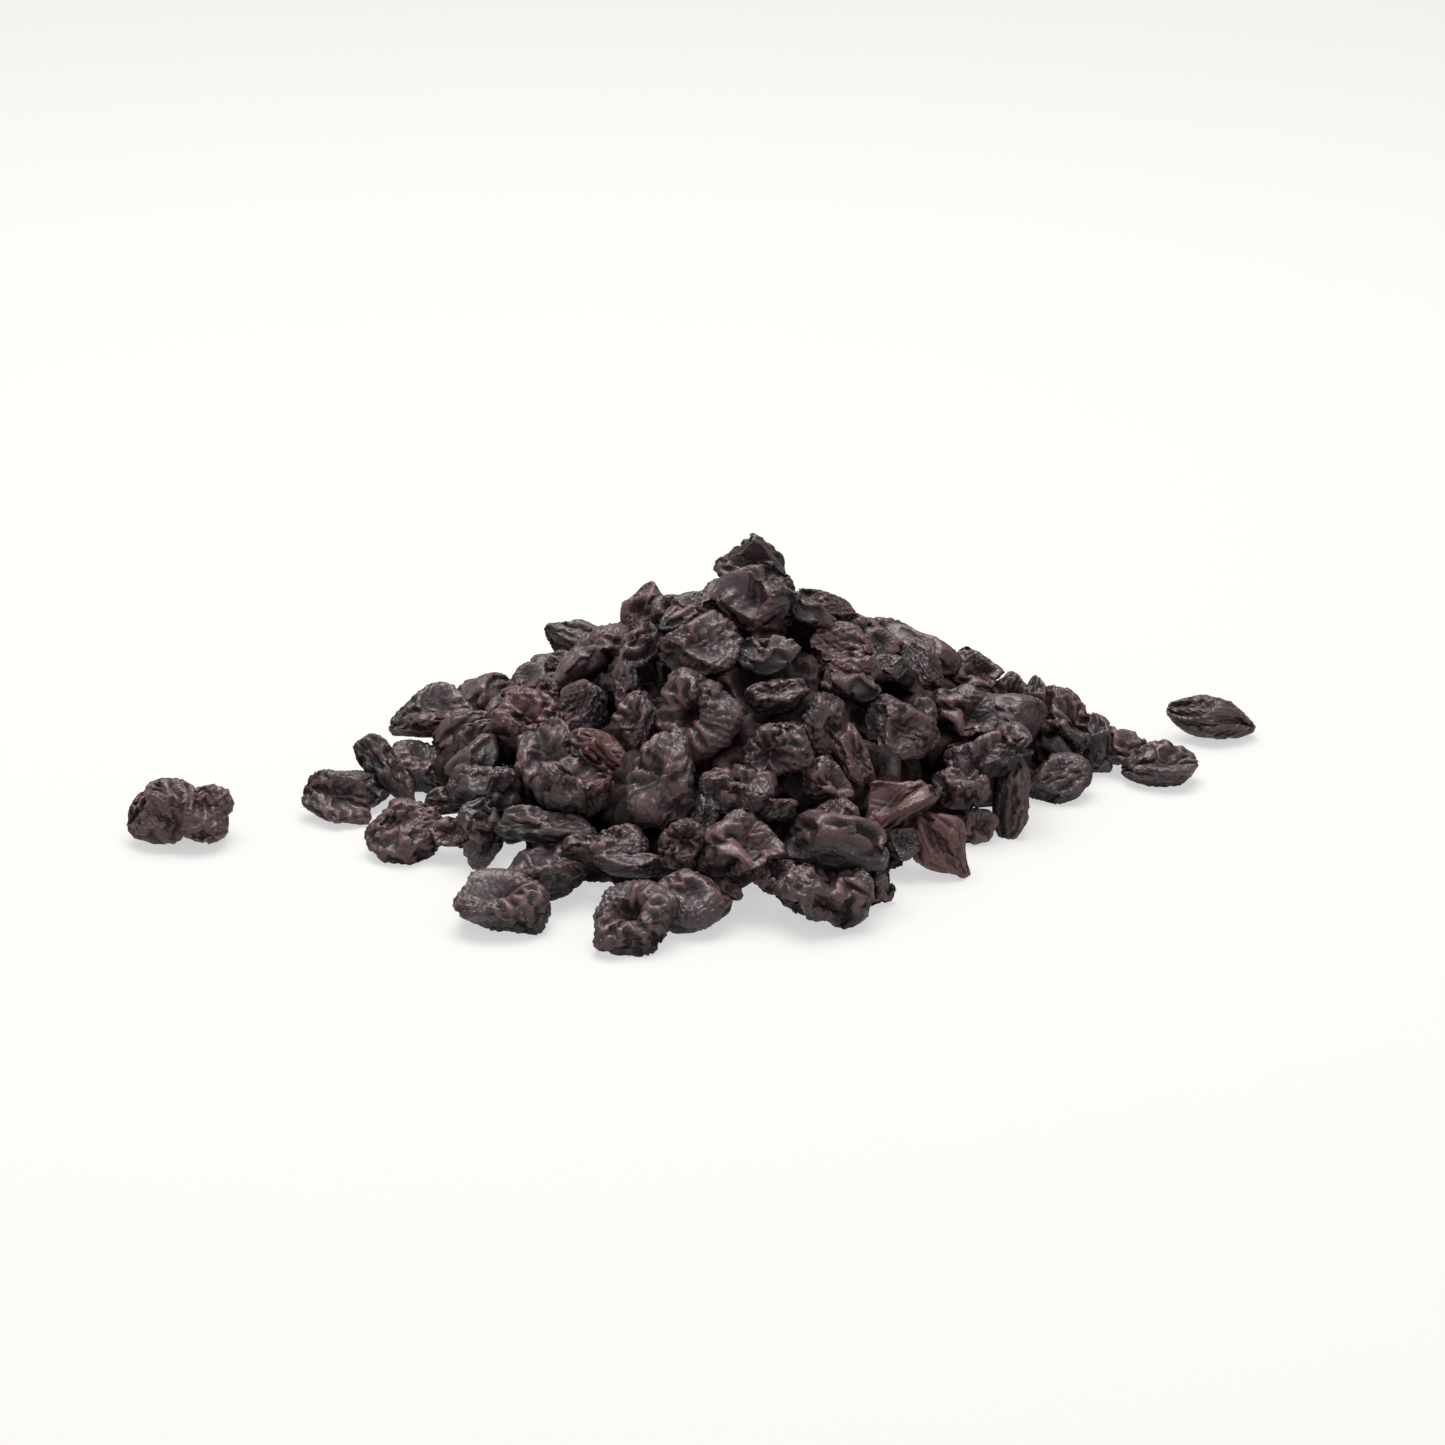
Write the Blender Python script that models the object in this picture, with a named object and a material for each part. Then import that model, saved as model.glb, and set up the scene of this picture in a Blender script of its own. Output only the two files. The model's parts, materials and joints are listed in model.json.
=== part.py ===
"""A heap of dried sour cherries on a bare surface, with two cherries that lie apart from it.

The heap is one solid: a mound with the cherries of its outer layer fused on. Each cherry that the reference
view shows is placed from where that view shows it, and the rest of the mound is covered by a seeded rule.
Metres, +Z up, origin on the surface under the middle of the whole.
"""

import math

import bmesh
import bpy
import numpy as np
from mathutils import Matrix, Vector

# Reference view: a square frame, seen from the front and a little above. It only reads places and sizes.
FRAME_PX = 1445
PX_PER_M = 5300.0
VIEW_ELEVATION = math.radians(22.0)
LENS = 0.100
SENSOR = 0.036
VIEW_DISTANCE = FRAME_PX / PX_PER_M * LENS / SENSOR
VIEW_TARGET = Vector((0.0024, 0.0002, 0.0155))

# The mound that carries the cherries. Its outline is in rows of bearing from +X in degrees, and radius.
HEAP_FOOT_PX = (755, 800)
HEAP_OUTLINE = (
    (0, 0.064),
    (45, 0.065),
    (90, 0.065),
    (135, 0.067),
    (180, 0.070),
    (210, 0.068),
    (237, 0.065),
    (265, 0.062),
    (297, 0.056),
    (316, 0.049),
    (335, 0.051),
    (360, 0.064),
)
HEAP_HEIGHT = 0.0380
TIP_ROUNDING = 0.10
CORE_RINGS = 6
CORE_SIDES = 16
RIM_HEIGHT = HEAP_HEIGHT / CORE_RINGS

# The sight lines are followed from in front of the heap to this far behind its middle
SEARCH_BEFORE = 0.130
SEARCH_BEHIND = 0.020
SEARCH_STEP = 0.0003

# How far a cherry's lowest point is pressed into the surface, how high its middle sits over the mound as a share
# of its own radius there, and how closely neighbours are pressed together
FLAT_SPOT = 0.0004
SEAT = 0.70
CLOSENESS = 0.78
FREE_GAP = 0.001

# The forms of cherry, as shares of half the length: breadth, thickness, depth and width of the stem pit, how
# far the sides fold up, how pointed the end is, and how lumpy the skin is
FORMS = {
    "round": dict(breadth=0.88, thickness=0.50, pit=(0.30, 0.45), fold=0.00, tip=0.00, lumps=0.06),
    "button": dict(breadth=0.94, thickness=0.52, pit=(0.42, 0.30), fold=0.05, tip=0.00, lumps=0.06),
    "long": dict(breadth=0.62, thickness=0.48, pit=(0.16, 0.40), fold=0.05, tip=0.15, lumps=0.09),
    "folded": dict(breadth=0.72, thickness=0.46, pit=(0.26, 0.50), fold=0.35, tip=0.10, lumps=0.09),
    "crumpled": dict(breadth=0.84, thickness=0.58, pit=(0.28, 0.40), fold=0.12, tip=0.05, lumps=0.15),
    "tipped": dict(breadth=0.66, thickness=0.50, pit=(0.14, 0.40), fold=0.05, tip=0.55, lumps=0.08),
    "smooth": dict(breadth=0.84, thickness=0.56, pit=(0.14, 0.40), fold=0.00, tip=0.05, lumps=0.05),
}

# Cherries in the reference view. Each row is the middle's column and row, the outline's length and breadth,
# all in pixels, the length's turn from level in degrees, and the form.
TOP = (
    (753, 563, 74, 58, -15, "folded"),
    (760, 598, 88, 74, -40, "crumpled"),
    (720, 592, 44, 34, 20, "long"),
    (829, 602, 76, 34, -9, "tipped"),
    (698, 607, 54, 34, 10, "round"),
    (640, 610, 64, 52, 80, "smooth"),
    (673, 616, 52, 40, -40, "round"),
    (583, 637, 82, 44, 162, "tipped"),
    (700, 647, 88, 70, 5, "round"),
    (640, 658, 74, 42, 85, "crumpled"),
    (626, 686, 58, 28, 100, "long"),
    (768, 654, 66, 40, 5, "crumpled"),
    (778, 694, 64, 36, 12, "long"),
    (843, 652, 68, 56, 0, "round"),
    (847, 683, 70, 42, -5, "crumpled"),
    (883, 646, 48, 40, -20, "smooth"),
    (890, 668, 38, 28, 10, "round"),
)
MIDDLE = (
    (698, 723, 94, 84, 70, "button"),
    (663, 783, 98, 64, 62, "round"),
    (636, 726, 70, 42, 75, "folded"),
    (579, 709, 60, 46, 70, "round"),
    (530, 724, 80, 60, -15, "crumpled"),
    (549, 691, 42, 32, 30, "round"),
    (530, 683, 48, 36, 40, "smooth"),
    (511, 706, 50, 34, 35, "smooth"),
    (575, 668, 62, 28, -20, "long"),
    (550, 664, 44, 28, 20, "smooth"),
    (602, 753, 80, 40, -32, "folded"),
    (576, 787, 84, 54, -18, "crumpled"),
    (778, 753, 72, 62, 40, "crumpled"),
    (824, 730, 70, 52, 60, "round"),
    (853, 759, 70, 40, -65, "long"),
    (824, 783, 50, 38, -60, "crumpled"),
    (897, 729, 78, 66, -50, "round"),
    (926, 724, 56, 26, -80, "long"),
    (924, 670, 66, 40, 108, "tipped"),
    (974, 674, 62, 50, -10, "crumpled"),
    (963, 714, 72, 58, -10, "crumpled"),
    (738, 790, 76, 46, -5, "button"),
    (770, 809, 54, 26, -5, "round"),
)
LEFT = (
    (424, 711, 90, 50, 5, "folded"),
    (458, 729, 60, 32, 10, "crumpled"),
    (477, 744, 58, 40, 40, "folded"),
    (416, 760, 78, 44, -14, "round"),
    (382, 772, 86, 38, -48, "long"),
    (350, 794, 60, 46, 15, "crumpled"),
    (308, 814, 76, 52, -20, "folded"),
    (397, 832, 82, 60, -8, "round"),
    (444, 830, 44, 34, 10, "crumpled"),
    (438, 803, 58, 28, 5, "long"),
    (487, 788, 82, 46, -8, "crumpled"),
    (475, 835, 72, 44, 105, "crumpled"),
    (547, 826, 100, 36, -7, "long"),
)
FRONT = (
    (619, 843, 58, 38, -5, "round"),
    (588, 847, 52, 26, 0, "long"),
    (628, 864, 68, 26, -5, "smooth"),
    (533, 871, 96, 50, 12, "folded"),
    (491, 910, 92, 58, 8, "round"),
    (608, 925, 88, 62, 15, "button"),
    (680, 901, 82, 62, -5, "smooth"),
    (722, 893, 30, 24, 0, "crumpled"),
    (742, 851, 86, 62, -10, "crumpled"),
    (682, 846, 56, 50, 20, "crumpled"),
    (704, 817, 46, 30, 80, "long"),
    (836, 842, 104, 58, -8, "smooth"),
    (822, 895, 98, 62, -8, "crumpled"),
    (887, 884, 44, 40, 20, "crumpled"),
    (903, 847, 44, 38, -10, "round"),
    (778, 877, 50, 36, -20, "crumpled"),
    (836, 812, 46, 28, 0, "round"),
)
RIGHT = (
    (894, 801, 86, 50, 35, "folded"),
    (947, 836, 90, 60, -52, "tipped"),
    (982, 818, 42, 34, 60, "crumpled"),
    (1021, 698, 54, 40, 70, "folded"),
    (1034, 703, 58, 26, 75, "long"),
    (1068, 721, 76, 54, -48, "crumpled"),
    (1105, 745, 66, 30, 93, "long"),
    (988, 755, 94, 48, 22, "crumpled"),
    (1055, 756, 48, 34, -25, "round"),
    (1027, 795, 94, 38, 86, "long"),
    (1082, 788, 72, 48, 12, "smooth"),
    (1146, 736, 66, 40, -25, "crumpled"),
    (1160, 766, 78, 46, -5, "folded"),
    (962, 785, 60, 40, 0, "crumpled"),
)
ON_MOUND = TOP + MIDDLE + LEFT + FRONT + RIGHT
BEHIND_ON_SURFACE = (
    (487, 696, 68, 42, 0, "smooth"),
    (1082, 703, 48, 28, -25, "smooth"),
)
STRAYS = {
    "stray_cherry_left": (181, 811, 104, 62, -4, "crumpled"),
    "stray_cherry_right": (1211, 717, 96, 46, 172, "tipped"),
}

# Cherries that the view doesn't show, laid over what is left of the mound
SEED = 23
FILL_TRIES = 5000
FILL_HALF_LENGTH = (0.0090, 0.0064)
FILL_REACH_BEHIND = 1.02
FILL_REACH_IN_FRONT = 0.78
FILL_SPACING = 0.72
FILL_TILT = math.radians(38.0)
FILL_FORMS = ("round", "crumpled", "folded", "button", "long", "smooth", "tipped")

SKIN_COLOR = (0.030, 0.014, 0.012, 1.0)
SKIN_ROUGHNESS = 0.42
BALL_DIVISIONS = 3
HEAP_CHERRY_FACES = 0.145
STRAY_FACES = 0.6
SCRAP_VOLUME = 5e-9


def view_axes():
    """Right, up and backwards of the reference view."""
    back = Vector((0.0, -math.cos(VIEW_ELEVATION), math.sin(VIEW_ELEVATION)))
    up = Vector((0.0, math.sin(VIEW_ELEVATION), math.cos(VIEW_ELEVATION)))
    return Vector((1.0, 0.0, 0.0)), up, back


def sight_line(column, row):
    """Start and unit direction of the sight line through a pixel."""
    right, up, back = view_axes()
    per_px = SENSOR / LENS / FRAME_PX
    across = (column - FRAME_PX / 2) * per_px
    rise = (FRAME_PX / 2 - row) * per_px
    return VIEW_TARGET + back * VIEW_DISTANCE, (right * across + up * rise - back).normalized()


def heap_foot():
    """Middle of the heap on the surface that it lies on."""
    eye, line = sight_line(*HEAP_FOOT_PX)
    return eye - line * (eye.z / line.z)


FOOT = heap_foot()


def heap_radius(bearing):
    """The mound's radius towards a bearing in radians."""
    bearings, radii = zip(*HEAP_OUTLINE)
    return float(np.interp(math.degrees(bearing) % 360.0, bearings, radii))


def mound(point):
    """Height of the mound over a point: a cone with a rounded tip."""
    away = point - FOOT
    share = math.hypot(away.x, away.y) / heap_radius(math.atan2(away.y, away.x))
    blunt = math.hypot(share, TIP_ROUNDING)
    return HEAP_HEIGHT * (1.0 - blunt) / (1.0 - TIP_ROUNDING)


def outward(point):
    """The mound's outward direction over a point."""
    away = Vector((point.x - FOOT.x, point.y - FOOT.y, 0.0))
    radius = heap_radius(math.atan2(away.y, away.x))
    slope = HEAP_HEIGHT / radius * min(1.0, away.length / (TIP_ROUNDING * radius))
    return (away.normalized() * slope + Vector((0.0, 0.0, 1.0))).normalized()


def radius_towards(axes, halves, direction):
    """An ellipsoid's radius towards a direction."""
    return 1.0 / math.sqrt(sum((axis.dot(direction) / half) ** 2 for axis, half in zip(axes, halves)))


def rest_height(point, axes, halves):
    """Height over a point of the middle of a cherry that rests on the mound or, beside it, on the surface."""
    reach = math.sqrt(sum((half * axis.z) ** 2 for axis, half in zip(axes, halves)))
    seated = mound(point) + SEAT * radius_towards(axes, halves, outward(point))
    return seated, reach - FLAT_SPOT


def place_on_mound(column, row, axes, halves):
    """Where the sight line first meets a place to rest, or passes closest over one."""
    eye, line = sight_line(column, row)
    nearest, least = None, math.inf
    steps = int((SEARCH_BEFORE + SEARCH_BEHIND) / SEARCH_STEP)
    for step in range(steps):
        point = eye + line * (VIEW_DISTANCE - SEARCH_BEFORE + step * SEARCH_STEP)
        clear = point.z - max(rest_height(point, axes, halves))
        if clear <= 0.0:
            return point
        if clear < least:
            nearest, least = point, clear
    return nearest


def place_on_surface(column, row, axes, halves):
    """Where the sight line meets the height at which the cherry rests on the surface."""
    eye, line = sight_line(column, row)
    return eye - line * ((eye.z - rest_height(eye, axes, halves)[1]) / line.z)


def shown_pose(entry, place):
    """Middle, axes, half sizes and form of a cherry from its row. It leans as far as its outline is narrow."""
    column, row, length, breadth, turn, form = entry
    right, up, back = view_axes()
    angle = math.radians(turn)
    along = right * math.cos(angle) + up * math.sin(angle)
    across = back.cross(along)
    wide, thin = FORMS[form]["breadth"], FORMS[form]["thickness"]
    share = min(max(breadth / length, thin), wide)
    lean = math.acos(math.sqrt((share**2 - thin**2) / (wide**2 - thin**2)))
    eye, line = sight_line(column, row)
    if across.dot(outward(eye + line * VIEW_DISTANCE)) < 0.0:
        across.negate()
    face = back * math.cos(lean) + across * math.sin(lean)
    half = length / PX_PER_M / 2.0
    stretch = breadth / length / share
    halves = (half, half * wide * stretch, half * thin * stretch)
    axes = (along, face.cross(along), face)
    return place(column, row, axes, halves), axes, halves, form


def fill_pose(half, random):
    """A cherry of this half length somewhere on the mound, lying roughly flat on its slope."""
    bearing = random.uniform(0.0, 2.0 * math.pi)
    limit = FILL_REACH_BEHIND if bearing < math.pi else FILL_REACH_IN_FRONT
    reach = heap_radius(bearing) * math.sqrt(random.uniform(0.0, 1.0)) * limit
    form = FILL_FORMS[random.integers(len(FILL_FORMS))]
    spin, tilt_bearing = random.uniform(0.0, 2.0 * math.pi, 2)
    tilt = random.uniform(0.0, FILL_TILT)
    spot = Vector((FOOT.x + reach * math.cos(bearing), FOOT.y + reach * math.sin(bearing), 0.0))
    face = outward(spot)
    tilt_axis = face.orthogonal().normalized()
    tilt_axis.rotate(Matrix.Rotation(tilt_bearing, 3, face))
    face.rotate(Matrix.Rotation(tilt, 3, tilt_axis))
    along = face.orthogonal().normalized()
    along.rotate(Matrix.Rotation(spin, 3, face))
    axes = (along, face.cross(along), face)
    halves = (half, half * FORMS[form]["breadth"], half * FORMS[form]["thickness"])
    spot.z = max(rest_height(spot, axes, halves))
    return spot, axes, halves, form


def fill_mound(poses, random):
    """Adds cherries to the list over the parts of the mound that it leaves bare, large ones first."""
    for half in np.linspace(*FILL_HALF_LENGTH, FILL_TRIES):
        middle, axes, halves, form = fill_pose(half, random)
        if all((middle - old[0]).length > FILL_SPACING * (halves[0] + old[2][0]) for old in poses):
            poses.append((middle, axes, halves, form))


def gap_between(first, second):
    """How far two cherries are from being pressed together, measured along the line between their middles."""
    apart = second[0] - first[0]
    direction = apart.normalized()
    radii = radius_towards(*first[1:3], direction) + radius_towards(*second[1:3], direction)
    return apart.length - CLOSENESS * radii


def draw_in(poses):
    """Moves each cherry that hangs free of the mound, level or downwards, until it touches one further in."""
    poses.sort(key=lambda pose: math.hypot(pose[0].x - FOOT.x, pose[0].y - FOOT.y))
    for number, pose in enumerate(poses):
        middle, axes, halves, _ = pose
        seated = middle.z - rest_height(middle, axes, halves)[0] < FREE_GAP
        if number == 0 or seated and mound(middle) > RIM_HEIGHT:
            continue
        nearest = min(poses[:number], key=lambda other: gap_between(pose, other))
        gap = gap_between(pose, nearest)
        if gap > 0.0:
            step = nearest[0] - middle
            step.z = min(step.z, 0.0)
            middle += step.normalized() * gap


def cherry_points(directions, form, random):
    """Points of a cherry of half length 1 for unit directions: long in x, thin in z, its stem pit at +z."""
    spec = FORMS[form]
    x, y, z = directions.T
    waves = random.normal(0.0, 2.1, (5, 3))
    phases = random.uniform(0.0, 2.0 * math.pi, 5)
    swell = 1.0 + 2.0 * spec["lumps"] * np.cos(directions @ waves.T + phases).mean(axis=1)
    depth, width = spec["pit"]
    spread = x**2 + y**2
    pit = np.where(z > 0.0, np.exp(-spread / width**2), 0.5 * np.exp(-spread / (1.4 * width) ** 2))
    lift = 1.0 - depth / spec["thickness"] * pit
    narrow = 1.0 - spec["tip"] * np.clip(x, 0.0, 1.0) ** 1.5
    long = x * swell * (1.0 + 0.15 * spec["tip"])
    broad = y * spec["breadth"] * swell * narrow
    thick = z * spec["thickness"] * swell * lift * narrow + spec["fold"] * broad**2
    points = np.stack([long, broad, thick], axis=1)
    low, high = points.min(axis=0), points.max(axis=0)
    return (points - (low + high) / 2.0) / ((high - low) / 2.0)


def new_object(name, shape, material):
    """Makes an object of a finished shape and empties the shape's working memory."""
    mesh = bpy.data.meshes.new(name)
    shape.to_mesh(mesh)
    shape.free()
    mesh.materials.append(material)
    made = bpy.data.objects.new(name, mesh)
    bpy.context.scene.collection.objects.link(made)
    return made


def apply_modifier(target, modifier):
    """Keeps what the modifier makes as the object's own mesh."""
    bpy.context.view_layer.update()
    graph = bpy.context.evaluated_depsgraph_get()
    made = bpy.data.meshes.new_from_object(target.evaluated_get(graph))
    target.modifiers.remove(modifier)
    target.data = made


def cherry_object(name, pose, faces, random, material):
    """One cherry at its true size and place, with this share of the ball's faces."""
    middle, axes, halves, form = pose
    turned = Matrix(axes).transposed()
    ball = bmesh.new()
    bmesh.ops.create_icosphere(ball, subdivisions=BALL_DIVISIONS, radius=1.0)
    directions = np.array([vert.co for vert in ball.verts])
    points = cherry_points(directions, form, random) * np.array(halves)
    for vert, point in zip(ball.verts, points):
        vert.co = middle + turned @ Vector(point)
    cherry = new_object(name, ball, material)
    if faces < 1.0:
        fewer = cherry.modifiers.new("fewer_faces", "DECIMATE")
        fewer.ratio = faces
        apply_modifier(cherry, fewer)
    return cherry


def core_object(material):
    """The mound under the cherries, with a low upright rim."""
    core = bmesh.new()
    rings = []
    for ring in range(CORE_RINGS):
        verts = []
        for side in range(CORE_SIDES):
            angle = 2.0 * math.pi * side / CORE_SIDES
            reach = heap_radius(angle) * (1.0 - max(ring, 1) / CORE_RINGS)
            spot = Vector((FOOT.x + reach * math.cos(angle), FOOT.y + reach * math.sin(angle), 0.0))
            if ring:
                spot.z = mound(spot)
            verts.append(core.verts.new(spot))
        rings.append(verts)
    for lower, upper in zip(rings, rings[1:]):
        for side in range(CORE_SIDES):
            following = (side + 1) % CORE_SIDES
            core.faces.new((lower[side], lower[following], upper[following], upper[side]))
    core.faces.new(rings[0][::-1])
    core.faces.new(rings[-1])
    return new_object("cherry_heap", core, material)


def skin_material():
    material = bpy.data.materials.new("dried_cherry_skin")
    material.use_nodes = True
    shader = material.node_tree.nodes["Principled BSDF"]
    shader.inputs["Base Color"].default_value = SKIN_COLOR
    shader.inputs["Roughness"].default_value = SKIN_ROUGHNESS
    return material


def fuse(target, pieces):
    """Joins the pieces to the target in one Boolean union, then removes them."""
    group = bpy.data.collections.new("pieces_to_fuse")
    bpy.context.scene.collection.children.link(group)
    for piece in pieces:
        bpy.context.scene.collection.objects.unlink(piece)
        group.objects.link(piece)
    union = target.modifiers.new("fuse", "BOOLEAN")
    union.operation = "UNION"
    union.operand_type = "COLLECTION"
    union.collection = group
    apply_modifier(target, union)
    for piece in pieces:
        bpy.data.objects.remove(piece)
    bpy.data.collections.remove(group)


def flatten_underside(target):
    """Cuts off what lies under the surface, so that the piece rests on small flat spots."""
    box = bmesh.new()
    bmesh.ops.create_cube(box, size=1.0)
    bmesh.ops.translate(box, verts=box.verts, vec=(0.0, 0.0, 0.5))
    above = new_object("above_surface", box, target.data.materials[0])
    keep = target.modifiers.new("above_surface", "BOOLEAN")
    keep.operation = "INTERSECT"
    keep.object = above
    apply_modifier(target, keep)
    bpy.data.objects.remove(above)


def shells(shape):
    """The shape's faces, in sets that hang together."""
    left = set(shape.faces)
    while left:
        shell = {left.pop()}
        edge_of_shell = list(shell)
        while edge_of_shell:
            face = edge_of_shell.pop()
            for edge in face.edges:
                for neighbour in edge.link_faces:
                    if neighbour in left:
                        left.remove(neighbour)
                        shell.add(neighbour)
                        edge_of_shell.append(neighbour)
        yield shell


def shell_volume(shell):
    """Volume inside a shell, negative for a hollow."""
    total = 0.0
    for face in shell:
        first = face.verts[0].co
        for second, third in zip(face.verts[1:], face.verts[2:]):
            total += first.dot(second.co.cross(third.co)) / 6.0
    return total


def keep_largest_shell(target):
    """Fills the hollows between the cherries and drops loose scraps."""
    shape = bmesh.new()
    shape.from_mesh(target.data)
    parts = sorted(((shell_volume(shell), shell) for shell in shells(shape)), key=lambda part: part[0])
    loose = [volume * 1e9 for volume, _ in parts[:-1] if volume > SCRAP_VOLUME]
    print("hollows filled:", sum(volume < 0.0 for volume, _ in parts), "loose mm3:", np.round(loose, 1))
    for _, shell in parts[:-1]:
        bmesh.ops.delete(shape, geom=list(shell), context="FACES")
    shape.to_mesh(target.data)
    shape.free()


def main():
    for old in list(bpy.data.objects):
        bpy.data.objects.remove(old)
    random = np.random.default_rng(SEED)
    material = skin_material()
    poses = [shown_pose(entry, place_on_mound) for entry in ON_MOUND]
    poses += [shown_pose(entry, place_on_surface) for entry in BEHIND_ON_SURFACE]
    shown = len(poses)
    fill_mound(poses, random)
    draw_in(poses)
    print("cherries:", shown, "shown,", len(poses) - shown, "filled")
    heap = core_object(material)
    pieces = [
        cherry_object(f"cherry_{number}", pose, HEAP_CHERRY_FACES, random, material)
        for number, pose in enumerate(poses)
    ]
    fuse(heap, pieces)
    flatten_underside(heap)
    keep_largest_shell(heap)
    for name, entry in STRAYS.items():
        stray = cherry_object(name, shown_pose(entry, place_on_surface), STRAY_FACES, random, material)
        flatten_underside(stray)
    for node in bpy.data.objects:
        node.data.shade_smooth()
    corners = np.array([node.matrix_world @ v.co for node in bpy.data.objects for v in node.data.vertices])
    print("box mm", (corners.min(0) * 1000).round(2), (corners.max(0) * 1000).round(2))
    print("faces", {node.name: len(node.data.polygons) for node in bpy.data.objects})


main()
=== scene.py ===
"""Dried sour cherries in a heap. Every cherry of the heap's outer layer is a wrinkled skin of its own.

A few skins are shaped first, each by growing a net over a soft body until it buckles into folds and wrinkles.
Copies of them, each turned and warped its own way, are then laid where the solids of the frame have theirs.
"""

import json
import math

import bmesh
import bpy
import numpy as np
from mathutils import Matrix, Vector

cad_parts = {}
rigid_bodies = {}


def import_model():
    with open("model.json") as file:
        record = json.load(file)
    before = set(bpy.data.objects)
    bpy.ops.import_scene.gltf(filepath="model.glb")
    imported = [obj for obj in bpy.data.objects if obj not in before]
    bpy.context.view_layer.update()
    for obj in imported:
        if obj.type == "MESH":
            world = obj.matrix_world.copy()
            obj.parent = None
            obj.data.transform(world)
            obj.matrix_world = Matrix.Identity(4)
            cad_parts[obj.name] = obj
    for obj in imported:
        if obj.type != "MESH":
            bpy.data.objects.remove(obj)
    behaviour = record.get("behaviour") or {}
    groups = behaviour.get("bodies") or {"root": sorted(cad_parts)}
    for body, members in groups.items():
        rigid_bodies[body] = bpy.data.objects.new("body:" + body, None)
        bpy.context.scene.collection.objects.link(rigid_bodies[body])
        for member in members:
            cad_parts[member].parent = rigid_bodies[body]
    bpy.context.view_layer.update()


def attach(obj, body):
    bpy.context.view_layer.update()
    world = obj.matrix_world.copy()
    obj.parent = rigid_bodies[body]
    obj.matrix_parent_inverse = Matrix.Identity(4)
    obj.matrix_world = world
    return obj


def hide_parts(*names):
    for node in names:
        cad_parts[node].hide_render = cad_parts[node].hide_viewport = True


# Reference view: a square frame, seen from the front and a little above. Places and sizes are read in it,
# and the camera stands at its eye.
FRAME_PX = 1445
PX_PER_M = 5300.0
VIEW_ELEVATION = math.radians(22.0)
LENS = 0.100
SENSOR = 0.036
VIEW_DISTANCE = FRAME_PX / PX_PER_M * LENS / SENSOR
VIEW_TARGET = Vector((0.0024, 0.0002, 0.0155))

# The mound that carries the cherries. Its outline is in rows of bearing from +X in degrees, and radius.
# Where it is lower than its rim height, it is too thin to carry a cherry that leans on no other.
HEAP_FOOT_PX = (755, 800)
HEAP_OUTLINE = (
    (0, 0.064),
    (45, 0.065),
    (90, 0.065),
    (135, 0.067),
    (180, 0.070),
    (210, 0.068),
    (237, 0.065),
    (265, 0.062),
    (297, 0.056),
    (316, 0.049),
    (335, 0.051),
    (360, 0.064),
)
HEAP_HEIGHT = 0.0380
TIP_ROUNDING = 0.10
RIM_HEIGHT = HEAP_HEIGHT / 6

# The sight lines are followed from in front of the heap to this far behind its middle
SEARCH_BEFORE = 0.130
SEARCH_BEHIND = 0.020
SEARCH_STEP = 0.0003

# How far a cherry's lowest point is pressed into the surface, how high its middle sits over the mound as a
# share of its own radius there, how closely neighbours are pressed together, and the gap over the mound at
# which a cherry still counts as lying on it
FLAT_SPOT = 0.0004
SEAT = 0.70
CLOSENESS = 0.78
FREE_GAP = 0.001

# The forms of cherry, as shares of half the length: breadth, thickness, depth and width of the stem pit,
# how far the sides fold up, how pointed the end is, and how lumpy the skin is
FORMS = {
    "round": dict(breadth=0.88, thickness=0.50, pit=(0.30, 0.45), fold=0.00, tip=0.00, lumps=0.06),
    "button": dict(breadth=0.94, thickness=0.52, pit=(0.42, 0.30), fold=0.05, tip=0.00, lumps=0.06),
    "long": dict(breadth=0.62, thickness=0.48, pit=(0.16, 0.40), fold=0.05, tip=0.15, lumps=0.09),
    "folded": dict(breadth=0.72, thickness=0.46, pit=(0.26, 0.50), fold=0.35, tip=0.10, lumps=0.09),
    "crumpled": dict(breadth=0.84, thickness=0.58, pit=(0.28, 0.40), fold=0.12, tip=0.05, lumps=0.15),
    "tipped": dict(breadth=0.66, thickness=0.50, pit=(0.14, 0.40), fold=0.05, tip=0.55, lumps=0.08),
    "smooth": dict(breadth=0.84, thickness=0.56, pit=(0.14, 0.40), fold=0.00, tip=0.05, lumps=0.05),
}

# Cherries in the reference view. Each row is the middle's column and row, the outline's length and breadth,
# all in pixels, the length's turn from level in degrees, and the form.
TOP = (
    (753, 563, 74, 58, -15, "folded"),
    (760, 598, 88, 74, -40, "crumpled"),
    (720, 592, 44, 34, 20, "long"),
    (829, 602, 76, 34, -9, "tipped"),
    (698, 607, 54, 34, 10, "round"),
    (640, 610, 64, 52, 80, "smooth"),
    (673, 616, 52, 40, -40, "round"),
    (583, 637, 82, 44, 162, "tipped"),
    (700, 647, 88, 70, 5, "round"),
    (640, 658, 74, 42, 85, "crumpled"),
    (626, 686, 58, 28, 100, "long"),
    (768, 654, 66, 40, 5, "crumpled"),
    (778, 694, 64, 36, 12, "long"),
    (843, 652, 68, 56, 0, "round"),
    (847, 683, 70, 42, -5, "crumpled"),
    (883, 646, 48, 40, -20, "smooth"),
    (890, 668, 38, 28, 10, "round"),
)
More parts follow.
